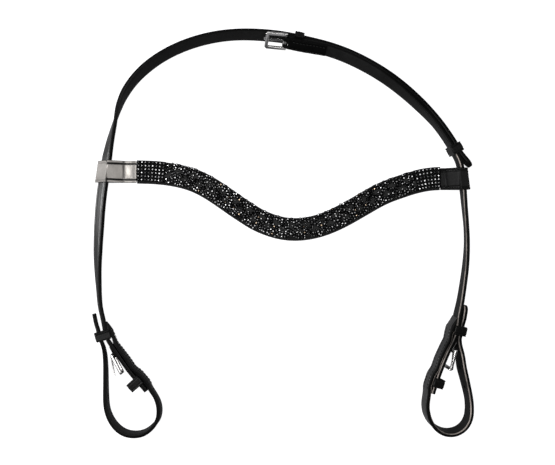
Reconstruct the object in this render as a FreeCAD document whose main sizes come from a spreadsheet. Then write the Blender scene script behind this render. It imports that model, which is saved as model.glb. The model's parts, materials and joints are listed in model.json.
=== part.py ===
import FreeCAD, Part
import math
import os
import Sketcher

# Headpiece of a bridle, lying flat: X to its right, Y towards the poll, Z up from the table.
# The origin is at the middle of its outline, on the table. Millimetres.

Vector = FreeCAD.Vector
UP = Vector(0, 0, 1)

# Every driving dimension: cell name, value, meaning.
SIZES = [
    ("strap_width", 13.0, "width of every strap"),
    ("strap_thickness", 4.0, "thickness of every strap"),
    ("layer_gap", 0.3, "space between two straps that lie together"),
    ("keeper_wall", 1.3, "leather of the keepers"),
    ("keeper_length", 9.5, "keeper, along the strap"),
    ("keeper_clearance", 0.45, "room between a keeper and what it holds"),
    ("keeper_stand", 7.6, "empty room in the left lower keeper"),
    ("right_keeper_stand", 4.2, "the same, in the right one"),
    ("head_width", 358.0, "between the cheeks, at the browband"),
    ("cheek_drop", 162.6, "from the browband to the upper keepers"),
    ("browband_height", 58.6, "browband ends, above the origin"),
    ("crown_radius", 222.6, "arch of the billet over the poll"),
    ("crown_lean", 11.0, "lean of the doubled crown straps at the runner, degrees"),
    ("bar_radius", 1.25, "base bar of the buckles"),
    ("bar_clearance", 0.08, "running fit on the base bars"),
    ("frame_length", 20.0, "from base bar to the outside of the end bar"),
    ("frame_bar", 3.4, "width of a buckle's side and end bars"),
    ("frame_thickness", 2.4, "thickness of the buckle plate"),
    ("frame_clearance", 0.5, "room beside the strap in a buckle"),
    ("tongue_width", 3.0, "width of a buckle's tongue"),
    ("tongue_wall", 1.1, "metal of the tongue's curl"),
    ("tongue_thickness", 1.7, "thickness of the tongue's prong"),
    ("tongue_room", 0.25, "space between tongue and end bar when closed"),
    ("chape_leather", 1.3, "leather folded round a base bar"),
    ("hole_radius", 1.7, "punched hole in a billet"),
    ("hole_pitch", 20.0, "between punched holes"),
    ("browband_width", 23.0, "width of the browband"),
    ("backing_thickness", 2.2, "backing leather of the browband"),
    ("padding_thickness", 2.0, "padding of the browband"),
    ("face_thickness", 1.0, "face leather of the browband"),
    ("wave_depth", 54.3, "dip of the browband"),
    ("wave_half", 138.0, "half the length of the dip"),
    ("wave_middle", 12.0, "X of the lowest place of the dip"),
    ("wave_tilt", -0.02, "slope of the browband as it lies"),
    ("crystal_left", 32.4, "first crystal, in from the left cheek"),
    ("crystal_right", 21.4, "last crystal, in from the right cheek"),
    ("crystal_pitch", 3.5, "between crystals of a strand"),
    ("crystal_radius", 1.45, "radius of a crystal in its cup"),
    ("crystal_height", 1.6, "height of a crystal above its strand"),
    ("strand_thickness", 0.9, "woven base of a crystal strand"),
    ("plait_cycle", 48.0, "length in which a strand swings across and back"),
    ("plait_swing", 8.1, "how far a strand swings to each side"),
    ("crystal_rise", 1.2, "crystals above the browband's middle line, as it lies"),
    ("loop_leather", 1.3, "leather of the browband's end loops"),
    ("loop_width", 22.0, "end loop, along the cheek"),
    ("loop_play", 1.2, "room round the cheek in an end loop"),
    ("stitch_length", 2.3, "length of one stitch"),
    ("stitch_pitch", 3.3, "between stitches"),
    ("stitch_thickness", 0.5, "thread"),
]

document = FreeCAD.newDocument("headpiece")
sheet = document.addObject("Spreadsheet::Sheet", "Sizes")
for row, (alias, value, meaning) in enumerate(SIZES, start=1):
    sheet.set("A%d" % row, alias)
    sheet.set("B%d" % row, str(value))
    sheet.set("C%d" % row, meaning)
    sheet.setAlias("B%d" % row, alias)
document.recompute()


def size(alias):
    return float(sheet.get(alias))


WIDTH = size("strap_width")
THICK = size("strap_thickness")
WALL = size("keeper_wall")
PLAY = size("keeper_clearance")
LEATHER = size("chape_leather")
HALF_HEAD = size("head_width") / 2
CLOSE = THICK + size("layer_gap")                # one strap's step when two lie together
PARTED = THICK + WALL + 2 * PLAY                 # the same, with a keeper's wall between them
BESIDE = THICK + 2 * size("layer_gap")           # the same, two straps inside one keeper
FOLD = size("bar_radius") + size("bar_clearance") + LEATHER
LIFT = 1.45 * (WALL + PLAY)                      # a keeper's wall passes under its leaning strap

parts = {}


def resting(lean, lift=0.0):
    """Height of the middle of a strap that stands on its edge, leaning over by so many degrees."""
    angle = math.radians(lean)
    return WIDTH / 2 * math.cos(angle) + THICK / 2 * abs(math.sin(angle)) + lift


class Route:
    """The centre line of a strap. Each place is (x, y, z, lean): lean turns the top edge outwards."""

    def __init__(self, places, side):
        points = [Vector(x, y, z) for x, y, z, lean in places]
        self.places = [0.0]
        for before, after in zip(points, points[1:]):
            self.places.append(self.places[-1] + before.distanceToPoint(after))
        self.leans = [place[3] for place in places]
        self.side = side
        self.curve = Part.BSplineCurve()
        self.curve.interpolate(Points=points, Parameters=self.places)
        self.end = self.places[-1]

    def lean(self, at):
        for index in range(len(self.places) - 2, -1, -1):
            start = self.places[index]
            if at >= start or index == 0:
                share = (at - start) / (self.places[index + 1] - start)
                return self.leans[index] + share * (self.leans[index + 1] - self.leans[index])

    def frame(self, at):
        """Middle of the strap, and its directions: along, across its width, through its thickness."""
        middle = self.curve.value(at)
        along = Vector(self.curve.tangent(at)[0])
        along.z = 0
        along.normalize()
        outward = Vector(-along.y, along.x, 0) * self.side
        angle = math.radians(self.lean(at))
        across = outward * math.sin(angle) + UP * math.cos(angle)
        through = outward * math.cos(angle) - UP * math.sin(angle)
        return middle, along, across, through

    def beside(self, at, step, faces_back):
        """The place of a strap that lies against this one, a step away through the thickness.

        faces_back says that what is outwards for this strap is inwards for the other.
        """
        middle, along, across, through = self.frame(at)
        place = middle + through * step
        lean = -self.lean(at) if faces_back else self.lean(at)
        return place.x, place.y, place.z, lean

    def nearest(self, x, y):
        """Where along the route it passes nearest to a point of the table."""
        return self.curve.parameter(Vector(x, y, resting(0)))

    def placement(self, at, step=0.0, heading=1):
        """A placement with X along the strap (heading -1: back along it) and Z outwards through it."""
        middle, along, across, through = self.frame(at)
        z_axis = through
        x_axis = along * heading
        y_axis = z_axis.cross(x_axis)
        turn = FreeCAD.Matrix(
            x_axis.x, y_axis.x, z_axis.x, 0,
            x_axis.y, y_axis.y, z_axis.y, 0,
            x_axis.z, y_axis.z, z_axis.z, 0,
            0, 0, 0, 1,
        )
        placement = FreeCAD.Placement(turn)
        placement.Base = middle + through * step
        return placement


def section(route, at, width, thick, step):
    """A rectangle across the strap."""
    middle, along, across, through = route.frame(at)
    middle = middle + through * step
    u = across * (width / 2)
    v = through * (thick / 2)
    corners = [middle + u + v, middle + u - v, middle - u - v, middle - u + v]
    return Part.makePolygon(corners + corners[:1])


def stations(start, end, pitch):
    count = max(2, int(round(abs(end - start) / pitch)))
    return [start + (end - start) * index / count for index in range(count + 1)]


def strap(route, start, end, pitch=4.0, round_end=0.0, skive=0.0, skived_side=1):
    """A strap from start to end: a rounded point at the end, and its start thinned on one face."""
    places = [at for at in stations(start, end, pitch) if abs(at - end) > round_end or not round_end]
    if round_end:
        last = end - math.copysign(round_end, end - start)
        places.append(last)
        places += [last + (end - last) * share for share in (0.35, 0.6, 0.8, 0.93, 1.0)]
    sections = []
    for at in places:
        width = WIDTH
        thick = THICK
        step = 0.0
        left = abs(end - at)
        if left < round_end:
            width = WIDTH * max(0.22, math.sqrt(1 - (1 - left / round_end) ** 2))
        done = abs(at - start)
        if done < skive:
            thick = THICK * (0.3 + 0.7 * done / skive)
            step = -skived_side * (THICK - thick) / 2
        sections.append(section(route, at, width, thick, step))
    return Part.makeLoft(sections, True, True)


def show(name, shape):
    """A sub-part whose shape is worked out here."""
    item = document.addObject("Part::Feature", name)
    item.Shape = shape
    item.Label = name
    parts[name] = item
    return item


# ---------------------------------------------------------------- routes of the straps

LEFT = -HALF_HEAD                                # the cheeks, at the browband
RIGHT = HALF_HEAD
BROW = size("browband_height")
KEEPER = BROW - size("cheek_drop")               # height of the upper keepers
ARCH = Vector(LEFT + 158, BROW - 86, 0)          # centre of the crown's arch
ARCH_RADIUS = size("crown_radius")
CROWN_LEAN = size("crown_lean")
LOOP_EDGE = 0.7                                  # play over a cheek's edge in an end loop


def in_loop(lean):
    """Height of a cheek's middle where it passes through an end loop that lies on the table."""
    angle = math.radians(lean)
    high = WIDTH / 2 + LOOP_EDGE + size("loop_leather")
    wide = THICK / 2 + size("loop_play") + size("loop_leather")
    return high * math.cos(angle) + wide * abs(math.sin(angle))


def on_arch(degrees, radius, lean, lift=0.0):
    """A place on the crown, by its angle about the middle of the arch."""
    angle = math.radians(degrees)
    x = ARCH.x + radius * math.cos(angle)
    y = ARCH.y + radius * math.sin(angle)
    return x, y, resting(lean, lift), lean


def left_places():
    """Tail in the left bit loop, up the left cheek, over the poll and down to the billet's point."""
    loop = [
        (43.2, -53.2, 2, 3.0), (38.3, -47.4, 2, 3.5), (31.8, -40, 2, 3.5), (24.5, -31, 2, 3.5),
        (17.2, -20.8, 1, 3.5), (10, -11, -4, 3.5), (3.1, 0, -11, 3.5), (0.2, 14, -14, 3.3),
        (-3.2, 29, -15, 2.4), (-4.9, 45, -17, 1.2),
    ]
    places = [(LEFT + x, KEEPER + y, resting(lean, lift), lean) for x, y, lean, lift in loop]
    below = (KEEPER + 45 + BROW - 77) / 2
    places.append((LEFT - 6.1, below, resting(-26, 0.4), -26))
    places.append((LEFT - 6.2, BROW - 77, resting(-37, 0.4), -37))
    places.append((LEFT - 5, BROW - 53, resting(-44, 1.4), -44))
    places.append((LEFT - 2.8, BROW - 27, in_loop(-46), -46))
    places.append((LEFT, BROW - 5, in_loop(-46), -46))
    places.append((LEFT + 3.4, BROW + 17, in_loop(-43), -43))
    places.append((LEFT + 6.5, BROW + 34, resting(-29, 1.6), -29))
    places.append((LEFT + 10.8, BROW + 52, resting(-13, 0.8), -13))
    places.append((LEFT + 15, BROW + 68, resting(8, 0.5), 8))
    for degrees, outwards, lean, lift in (
        (128.8, -5.4, 22, 0), (121, 2.4, 35, 0), (109, 6.2, 38, 0), (97, 5.0, 39, 0.5),
        (90, 2.9, 43, 1.2), (84, 1.2, 41, LIFT),
    ):
        places.append(on_arch(degrees, ARCH_RADIUS + outwards, lean, lift))
    for degrees, outwards, lean in DOUBLED:
        places.append(on_arch(degrees, ARCH_RADIUS + outwards, lean, LIFT))
    places.append(on_arch(26.9, ARCH_RADIUS + 3.1, CROWN_LEAN - 1, LIFT))
    places.append(on_arch(24.2, ARCH_RADIUS + 5.7, CROWN_LEAN - 2, LIFT))
    return places


# Where the two crown straps lie together: the angle, the radius beyond the arch's, and the lean.
DOUBLED = (
    (78, 0, CROWN_LEAN + 31), (73, 0, CROWN_LEAN + 35), (68, 0.1, CROWN_LEAN + 36),
    (62, 0.0, CROWN_LEAN + 34), (56, 0.1, CROWN_LEAN + 29), (50, 0.2, CROWN_LEAN + 22),
    (44, 0.7, CROWN_LEAN + 13), (40.5, 1.3, CROWN_LEAN + 5), (38, 1.7, CROWN_LEAN + 1),
    (35.5, 1.8, CROWN_LEAN), (33, 1.8, CROWN_LEAN), (30.7, 1.8, CROWN_LEAN), (28.6, 1.8, CROWN_LEAN),
)
left_route = Route(left_places(), 1)


def arch_station(degrees):
    """Where the left strap passes an angle of the arch."""
    x, y, z, lean = on_arch(degrees, ARCH_RADIUS, CROWN_LEAN)
    return left_route.nearest(x, y)


def right_places():
    """Tail in the right bit loop, up the right cheek and over to the crown buckle."""
    loop = [
        (-31.9, -55, 18, 5.8), (-30, -49, 18, 6.3), (-27.1, -40, 18, 6.8), (-23.7, -30.5, 18, 7),
        (-19.5, -20, 18, 7), (-15, -10, 18.5, 6.9), (-10, 0, 19, 6.5), (-7.1, 10, 19, 5.9),
        (-5.6, 20, 17, 5), (-2.8, 32, 14.5, 3.6), (-0.2, 45, 11.5, 2.1),
    ]
    places = [(RIGHT + x, KEEPER + y, resting(lean, lift), lean) for x, y, lean, lift in loop]
    below = (KEEPER + 45 + BROW - 71) / 2
    places.append((RIGHT + 3.3, below, resting(8, 0.8), 8))
    places.append((RIGHT + 5, BROW - 71, resting(2, 0.2), 2))
    places.append((RIGHT + 4.4, BROW - 52, resting(0, 0.8), 0))
    places.append((RIGHT + 2.3, BROW - 31, in_loop(4), 4))
    places.append((RIGHT + 0.8, BROW - 14, in_loop(9), 9))
    places.append((RIGHT - 1.1, BROW + 2, in_loop(11) + 0.5, 11))
    places.append((RIGHT - 3.1, BROW + 11.5, in_loop(11) + 0.8, 11))
    for degrees, outwards, lean in reversed(DOUBLED[1:]):
        places.append(left_route.beside(arch_station(degrees), -CLOSE, False))
    for degrees in (77, 79.5, 82.5, 85, 90):
        step = CLOSE + 0.5 * (PARTED - CLOSE) if degrees < 79 else PARTED
        places.append(left_route.beside(arch_station(degrees), -step, False))
    return places


right_route = Route(right_places(), -1)


def bit_places(cheek, side, lower, upper, spare, around, tip):
    """A bit strap: along the cheek strap, round the loop, and back up through the upper keeper.

    lower and upper are where the cheek strap passes the two keepers; spare is how far its end stands
    off the cheek strap in the upper one; around and tip are places of its own, in from the cheek and
    up from the upper keeper.
    """
    towards = -1                                 # the bit strap lies on the middle side of the cheek strap
    places = []
    start = upper + 13
    for at, step in (
        (start, CLOSE + 0.7 * spare), (upper + 6, PARTED + 0.5 * spare), (upper, PARTED),
        (upper - 5.5, PARTED), (upper - 11, CLOSE + 0.7), (upper - 18, CLOSE + 0.4),
        (upper - 25, CLOSE + 0.4), (lower + 20, CLOSE + 0.5), (lower + 12, CLOSE + 0.4),
        (lower + 6, PARTED), (lower, PARTED), (lower - 5, PARTED), (1.0, CLOSE + 0.3),
    ):
        places.append(cheek.beside(at, towards * step, True))
    edge = LEFT if side < 0 else RIGHT
    places += [(edge + x, KEEPER + y, resting(lean, lift), lean) for x, y, lean, lift in around]
    for at in (upper - 6, upper, upper + 6):
        places.append(cheek.beside(at, BESIDE + spare, False))
    places += [(edge + x, KEEPER + y, resting(lean, lift), lean) for x, y, lean, lift in tip]
    return places


left_upper = left_route.nearest(LEFT + 2.6, KEEPER + 2.5)
left_lower = left_route.nearest(LEFT + 34.8, KEEPER - 43.5)
right_upper = right_route.nearest(RIGHT - 7.8, KEEPER + 7.5)
right_lower = right_route.nearest(RIGHT - 28.5, KEEPER - 43.5)
LEFT_SPARE = 2.0                                 # the left billet stands off its cheek strap by this

left_bit_route = Route(bit_places(
    left_route, -1, left_lower, left_upper, LEFT_SPARE,
    [
        (51.4, -58.3, -1, 2.6), (54.6, -66, -5, 1.8), (55.5, -74, -6, 1.0), (53.8, -82.4, -3, 0.4),
        (48.3, -90, 3, 0.1), (40, -95.8, 8, 0), (30, -97.6, 11, 0), (20.5, -95.6, 12, 0),
        (12.6, -90, 11, 0), (6.6, -81.6, 8, 0), (3.1, -72, 5, 0), (2, -62, 4, 0),
        (1.8, -49, 1, 0.2), (1.8, -34, -1, 1.0), (1.4, -20, -4, 2.2),
    ],
    [(-7.1, 12, -12, 3.2), (-8.4, 17.5, -12, 3.0), (-9.6, 23.6, -12, 2.8)],
), 1)

right_bit_route = Route(bit_places(
    right_route, 1, right_lower, right_upper, 0.0,
    [
        (-37.1, -66, -18, 5.8), (-36, -75, -15, 4.3), (-31.9, -84.3, -6, 2.5), (-25.8, -91, 5, 1.1),
        (-17, -95.2, 17, 0.2), (-7.8, -95, 24, 0), (1.2, -89.8, 25, 0), (6.3, -81, 23, 0),
        (7.5, -71.5, 20, 0), (6.9, -62, 19, 0), (4.7, -51, 21, 0.3), (2, -40, 25, 1.0),
        (-0.7, -29, 28, 2.2), (-2.5, -18, 25, 3.6),
    ],
    [(-0.9, 17.5, 18, 4.5), (0.7, 25, 16, 4.5), (2.2, 32.4, 15, 4.4)],
), -1)


# ---------------------------------------------------------------- straps

CROWN_BAR = 83.9                                 # angle of the crown buckle's base bar
crown_bar_station = right_route.nearest(*on_arch(CROWN_BAR, ARCH_RADIUS - 4, CROWN_LEAN)[:2])
crown_keeper_station = left_route.nearest(*on_arch(80.6, ARCH_RADIUS, CROWN_LEAN)[:2])
RUNNER_ANGLE = 30.0                              # where the runner lies on the arch
runner_station = arch_station(RUNNER_ANGLE)


def punched(shape, route, first, count, direction):
    """The billet with its row of holes."""
    for index in range(count):
        middle, along, across, through = route.frame(first + direction * index * size("hole_pitch"))
        start = middle - through * THICK
        shape = shape.cut(Part.makeCylinder(size("hole_radius"), 2 * THICK, start, through))
    return shape


show("left_strap", punched(
    strap(left_route, 0.0, left_route.end, round_end=7.0),
    left_route, left_route.end - 58, 6, -1,
))
show("right_strap", strap(right_route, 0.0, crown_bar_station - FOLD - size("layer_gap")))
show("left_bit_strap", punched(
    strap(left_bit_route, 0.0, left_bit_route.end, 3.0, 6.0, 12.0),
    left_bit_route, left_bit_route.end - 44, 3, -1,
))
show("right_bit_strap", punched(
    strap(right_bit_route, 0.0, right_bit_route.end, 3.0, 6.0, 12.0),
    right_bit_route, right_bit_route.end - 44, 3, -1,
))


# ---------------------------------------------------------------- bodies drawn in sketches

def plane(body, role):
    return [feature for feature in body.Origin.OriginFeatures if feature.Role == role][0]


def new_body(name):
    body = document.addObject("PartDesign::Body", name)
    body.Label = name
    parts[name] = body
    return body


def new_sketch(body, role):
    sketch = body.newObject("Sketcher::SketchObject", body.Name + "_sketch")
    sketch.AttachmentSupport = [(plane(body, role), "")]
    sketch.MapMode = "FlatFace"
    return sketch


def outline(sketch, corners):
    """A closed outline of straight edges. Each corner is a pair of expressions on the sheet."""
    values = [[float(sketch.evalExpression(text)) for text in corner] for corner in corners]
    first = sketch.GeometryCount
    count = len(corners)
    for index in range(count):
        here = values[index]
        there = values[(index + 1) % count]
        sketch.addGeometry(Part.LineSegment(Vector(here[0], here[1], 0), Vector(there[0], there[1], 0)))
    for index in range(count):
        following = first + (index + 1) % count
        sketch.addConstraint(Sketcher.Constraint("Coincident", first + index, 2, following, 1))
    for index in range(count):
        for kind, which in (("DistanceX", 0), ("DistanceY", 1)):
            fixed = Sketcher.Constraint(kind, -1, 1, first + index, 1, values[index][which])
            number = sketch.addConstraint(fixed)
            sketch.setExpression("Constraints[%d]" % number, corners[index][which])


def circle(sketch, radius):
    """A circle about the sketch's origin; its radius is an expression on the sheet."""
    value = float(sketch.evalExpression(radius))
    number = sketch.addGeometry(Part.Circle(Vector(0, 0, 0), Vector(0, 0, 1), value))
    sketch.addConstraint(Sketcher.Constraint("Coincident", number, 3, -1, 1))
    constraint = sketch.addConstraint(Sketcher.Constraint("Radius", number, value))
    sketch.setExpression("Constraints[%d]" % constraint, radius)


def feature(body, kind, sketch, length, name):
    """A pad or pocket, half to each side of its sketch."""
    item = body.newObject("PartDesign::" + kind, body.Name + "_" + name)
    item.Profile = sketch
    item.setExpression("Length", length)
    item.Midplane = True
    document.recompute()
    return item


def fillet(body, base, radius, name):
    item = body.newObject("PartDesign::Fillet", body.Name + "_" + name)
    item.Base = (base, ["Face1"])
    item.UseAllEdges = True
    item.Radius = radius
    document.recompute()
    return item


def keeper(name, inner_low, inner_high, placement):
    """A band of leather round a strap: X along the strap, Y across it, Z through it.

    inner_low and inner_high, expressions, are the room that it holds along Z.
    """
    body = new_body(name)
    half = "(Sizes.strap_width / 2 + Sizes.keeper_clearance)"
    wall = "Sizes.keeper_wall"
    sketch = new_sketch(body, "YZ_Plane")
    outline(sketch, [
        ("-%s - %s" % (half, wall), "%s - %s" % (inner_low, wall)),
        ("%s + %s" % (half, wall), "%s - %s" % (inner_low, wall)),
        ("%s + %s" % (half, wall), "%s + %s" % (inner_high, wall)),
        ("-%s - %s" % (half, wall), "%s + %s" % (inner_high, wall)),
    ])
    outer = feature(body, "Pad", sketch, "Sizes.keeper_length", "band")
    rounded = fillet(body, outer, 0.45, "edges")
    hole = new_sketch(body, "YZ_Plane")
    outline(hole, [
        ("-" + half, inner_low), (half, inner_low), (half, inner_high), ("-" + half, inner_high),
    ])
    feature(body, "Pocket", hole, "3 * Sizes.keeper_length", "room")
    body.Placement = placement
    return body


def buckle_frame(name, placement):
    """X from the base bar to the end bar, Y across the strap, Z towards the tongue."""
    body = new_body(name)
    inner = "(Sizes.strap_width / 2 + Sizes.frame_clearance)"
    outer = "(%s + Sizes.frame_bar)" % inner
    back = "-Sizes.bar_radius - 0.5"
    front = "(Sizes.frame_length - Sizes.frame_bar)"
    sketch = new_sketch(body, "XY_Plane")
    outline(sketch, [
        (back, "-" + outer), ("Sizes.frame_length - 2", "-" + outer),
        ("Sizes.frame_length", "-%s + 2" % outer), ("Sizes.frame_length", "%s - 2" % outer),
        ("Sizes.frame_length - 2", outer), (back, outer), (back, inner),
        (front, inner), (front, "-" + inner), (back, "-" + inner),
    ])
    plate = feature(body, "Pad", sketch, "Sizes.frame_thickness", "plate")
    fillet(body, plate, 0.7, "edges")
    bar = new_sketch(body, "XZ_Plane")
    circle(bar, "Sizes.bar_radius")
    feature(body, "Pad", bar, "2 * %s + 1" % inner, "base_bar")
    body.Placement = placement
    return body


def buckle_tongue(name, placement):
    """The tongue in its closed place: its curl is on the base bar, its prong rests over the end bar."""
    body = new_body(name)
    curl = "(Sizes.bar_radius + Sizes.bar_clearance + Sizes.tongue_wall)"
    rest = "(Sizes.frame_thickness / 2 + Sizes.tongue_room)"
    thick = "Sizes.tongue_thickness"
    ring = new_sketch(body, "XZ_Plane")
    circle(ring, curl)
    feature(body, "Pad", ring, "Sizes.tongue_width", "curl")
    prong = new_sketch(body, "XZ_Plane")
    outline(prong, [
        ("0", curl + " - 1.1"), ("Sizes.frame_length - 5", rest), ("Sizes.frame_length + 0.6", rest),
        ("Sizes.frame_length + 1.2", rest + " + 0.7"),
        ("Sizes.frame_length + 0.4", "%s + %s - 0.3" % (rest, thick)),
        ("Sizes.frame_length - 6", "%s + %s" % (rest, thick)), ("0", curl),
    ])
    feature(body, "Pad", prong, "Sizes.tongue_width - 0.4", "prong")
    bore = new_sketch(body, "XZ_Plane")
    circle(bore, "Sizes.bar_radius + Sizes.bar_clearance")
    feature(body, "Pocket", bore, "4 * Sizes.tongue_width", "bore")
    body.Placement = placement
    return body


def turned(placement, degrees):
    """The same placement, turned about its own Y, so that X swings towards Z."""
    return placement.multiply(FreeCAD.Placement(Vector(0, 0, 0), FreeCAD.Rotation(Vector(0, 1, 0), -degrees)))


def chape(name, route, bar, towards, step, tail, bar_place):
    """Leather folded round a base bar, with a tail along the strap and a slot for the tongue.

    towards is +1 where the tail runs up the route; step is where its leaf lies, through the strap.
    """
    middle, along, across, through = route.frame(bar)
    width = WIDTH - 0.4
    centre = bar_place.Base
    start = centre - across * (width / 2)
    ring = Part.makeCylinder(FOLD, width, start, across)
    sections = []
    far = math.copysign(1, step)
    offset = (centre - middle).dot(through)
    close = offset + far * (FOLD - LEATHER / 2) if abs(offset) < 1 else offset - far * (FOLD - LEATHER / 2)
    for index, at in enumerate(stations(bar, bar + towards * tail, 4.0)):
        place = close + (step - close) * min(1, index)
        sections.append(section(route, at, width, LEATHER, place))
    leaf = Part.makeLoft(sections, True, True)
    solid = ring.fuse(leaf)
    clear = size("bar_radius") + size("bar_clearance")
    solid = solid.cut(Part.makeCylinder(clear, 2 * width, centre - across * width, across))
    slot = Part.makeBox(
        4 * FOLD, size("tongue_width") + 1.2, 4 * FOLD,
        Vector(-1.2 * FOLD, -(size("tongue_width") + 1.2) / 2, -2 * FOLD),
    )
    slot.Placement = bar_place
    return show(name, solid.cut(slot))


# The crown buckle: its bar lies in the fold at the end of the right strap.
CROWN_SWING = -7.0                               # the frame hangs a little away from the billet
crown_place = turned(right_route.placement(crown_bar_station), CROWN_SWING)
buckle_frame("crown_buckle_frame", crown_place)
buckle_tongue("crown_buckle_tongue", crown_place)

# The bit buckles hang on the loop side of the cheek straps, a little open.
HANG = THICK / 2 + size("layer_gap") + FOLD
LEFT_SWING = 9.0
RIGHT_SWING = 14.0
LEFT_TONGUE = 17.0
RIGHT_TONGUE = 10.0
left_bar = left_route.nearest(LEFT + 13.5, KEEPER - 15.5)
right_bar = right_route.nearest(RIGHT - 15, KEEPER - 10)
left_place = turned(left_route.placement(left_bar, HANG, -1), LEFT_SWING)
right_place = turned(right_route.placement(right_bar, HANG, -1), RIGHT_SWING)
buckle_frame("left_bit_buckle_frame", left_place)
buckle_tongue("left_bit_buckle_tongue", turned(left_place, LEFT_TONGUE))
buckle_frame("right_bit_buckle_frame", right_place)
buckle_tongue("right_bit_buckle_tongue", turned(right_place, RIGHT_TONGUE))

LEAF = THICK / 2 + size("layer_gap") + LEATHER / 2    # a chape's tail, from the middle of its strap
CROWN_TAIL = 42.0
BIT_TAIL = 9.0
chape("crown_chape", right_route, crown_bar_station, -1, -LEAF, CROWN_TAIL, crown_place)
chape("left_bit_chape", left_route, left_bar, 1, LEAF, BIT_TAIL, left_place)
chape("right_bit_chape", right_route, right_bar, 1, LEAF, BIT_TAIL, right_place)

# Keepers. Z is through the straps, outwards; the room is from the strap that the keeper is sewn to.
half_strap = "Sizes.strap_thickness / 2"
play = "Sizes.keeper_clearance"
keeper("crown_fixed_keeper", "-%s - %s" % (half_strap, play), "%s + %s" % (half_strap, play),
       left_route.placement(crown_keeper_station))
keeper("crown_runner_keeper",
       "-%s - Sizes.strap_thickness - Sizes.layer_gap - %s" % (half_strap, play),
       "%s + %s" % (half_strap, play), left_route.placement(runner_station))
CURVE_ROOM = 0.6                                 # more room where the straps bend in a keeper
two_straps = "%s + Sizes.strap_thickness + 2 * Sizes.layer_gap + %s + %s" % (half_strap, play, CURVE_ROOM)
for hand, route, upper, lower, spare, stand in (
    ("left", left_route, left_upper, left_lower, LEFT_SPARE, "Sizes.keeper_stand"),
    ("right", right_route, right_upper, right_lower, 0.0, "Sizes.right_keeper_stand"),
):
    sewn = "-%s - %s - %s" % (half_strap, play, CURVE_ROOM / 2)
    keeper(hand + "_upper_keeper", sewn, "%s + %s" % (two_straps, spare), route.placement(upper, 0.0, -1))
    one_and_room = "%s + %s" % (half_strap, stand)
    keeper(hand + "_lower_keeper", sewn, one_and_room, route.placement(lower, 0.0, -1))


# ---------------------------------------------------------------- browband

# How the browband, soft as it is, lies beside an even wave: place along X, and how far it lies higher.
SLACK = (
    (-200, -0.3), (-133, -0.4), (-121, -1.1), (-109, -0.7), (-97, 0.5), (-85, 1.7), (-73, 2.1), (-61, 1.7),
    (-49, 0.8), (-37, 0.1), (-25, -0.8), (-1, -0.8), (23, -0.3), (71, -0.6), (95, -0.9), (107, -2.0),
    (119, -3.0), (131, -3.0), (143, -2.2), (155, -0.9), (200, -0.8),
)


def wave(x):
    """Height of the browband's middle line at x."""
    share = max(-1.0, min(1.0, (x - size("wave_middle")) / size("wave_half")))
    low, high = [(a, b) for a, b in zip(SLACK, SLACK[1:]) if a[0] <= x <= b[0]][0]
    slack = low[1] + (high[1] - low[1]) * (x - low[0]) / (high[0] - low[0])
    return BROW + size("wave_tilt") * x - size("wave_depth") * (1 + math.cos(math.pi * share)) / 2 + slack


def wave_places(start, end, count):
    for index in range(count + 1):
        x = start + (end - start) * index / count
        yield x, wave(x), 0.0, 90.0


BAND_START = LEFT + size("crystal_left")
BAND_END = RIGHT - size("crystal_right")
wave_route = Route(list(wave_places(BAND_START - 2, BAND_END + 2, 30)), 1)
band_start = wave_route.curve.parameter(Vector(BAND_START, wave(BAND_START), 0))
band_end = wave_route.curve.parameter(Vector(BAND_END, wave(BAND_END), 0))
BACK_TOP = size("backing_thickness")
PAD_TOP = BACK_TOP + size("padding_thickness")
FACE_TOP = PAD_TOP + size("face_thickness")


def flat_section(at, corners):
    """Corners, each (across the browband, above the table), at a place along it."""
    middle, along, across, through = wave_route.frame(at)
    points = [middle + across * side + UP * height for side, height in corners]
    return Part.makePolygon(points + points[:1])


def flat_band(start, end, corners, pitch=6.0):
    return Part.makeLoft([flat_section(at, corners) for at in stations(start, end, pitch)], True, True)


def box_corners(half, low, high, middle=0.0):
    return [(middle + half, high), (middle - half, high), (middle - half, low), (middle + half, low)]


BROW_HALF = size("browband_width") / 2
FACE_HALF = BROW_HALF - 0.6
PAD_HALF = FACE_HALF - size("face_thickness")
show("browband_backing", flat_band(band_start, band_end, box_corners(BROW_HALF, 0, BACK_TOP)))
show("browband_padding", flat_band(band_start, band_end, box_corners(PAD_HALF, BACK_TOP, PAD_TOP)))
show("browband_face", flat_band(band_start, band_end, [
    (FACE_HALF, BACK_TOP), (FACE_HALF, FACE_TOP), (-FACE_HALF, FACE_TOP), (-FACE_HALF, BACK_TOP),
    (-PAD_HALF, BACK_TOP), (-PAD_HALF, PAD_TOP), (PAD_HALF, PAD_TOP), (PAD_HALF, BACK_TOP),
]))

# Crystals: a grid of six rows at each end, three plaited strands between.
ROWS = 6
PITCH = size("crystal_pitch")
STRAND = size("strand_thickness")
GRID_HALF = ROWS * PITCH / 2
RISE = size("crystal_rise")
LEFT_COLUMNS = 8
RIGHT_COLUMNS = 7
STRAND_HALF = 0.74 * PITCH
PLAIT_RISE = 1.2


def crystal(at, across_place, low):
    """A cut stone in its cup."""
    middle, along, across, through = wave_route.frame(at)
    radius = size("crystal_radius")
    high = size("crystal_height")
    return Part.makeCone(radius, 0.5 * radius, high, middle + across * (across_place + RISE) + UP * low)


for hand, first, columns, direction in (
    ("left", band_start, LEFT_COLUMNS, 1),
    ("right", band_end, RIGHT_COLUMNS, -1),
):
    last = first + direction * columns * PITCH
    low, high = min(first, last), max(first, last)
    show(hand + "_crystal_base", flat_band(low, high, box_corners(GRID_HALF, FACE_TOP, FACE_TOP + STRAND, RISE)))
    stones = []
    for column in range(columns):
        for line in range(ROWS):
            at = first + direction * (column + 0.5) * PITCH
            stones.append(crystal(at, (line - (ROWS - 1) / 2) * PITCH, FACE_TOP + STRAND))
    show(hand + "_end_crystals", Part.makeCompound(stones))

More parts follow.
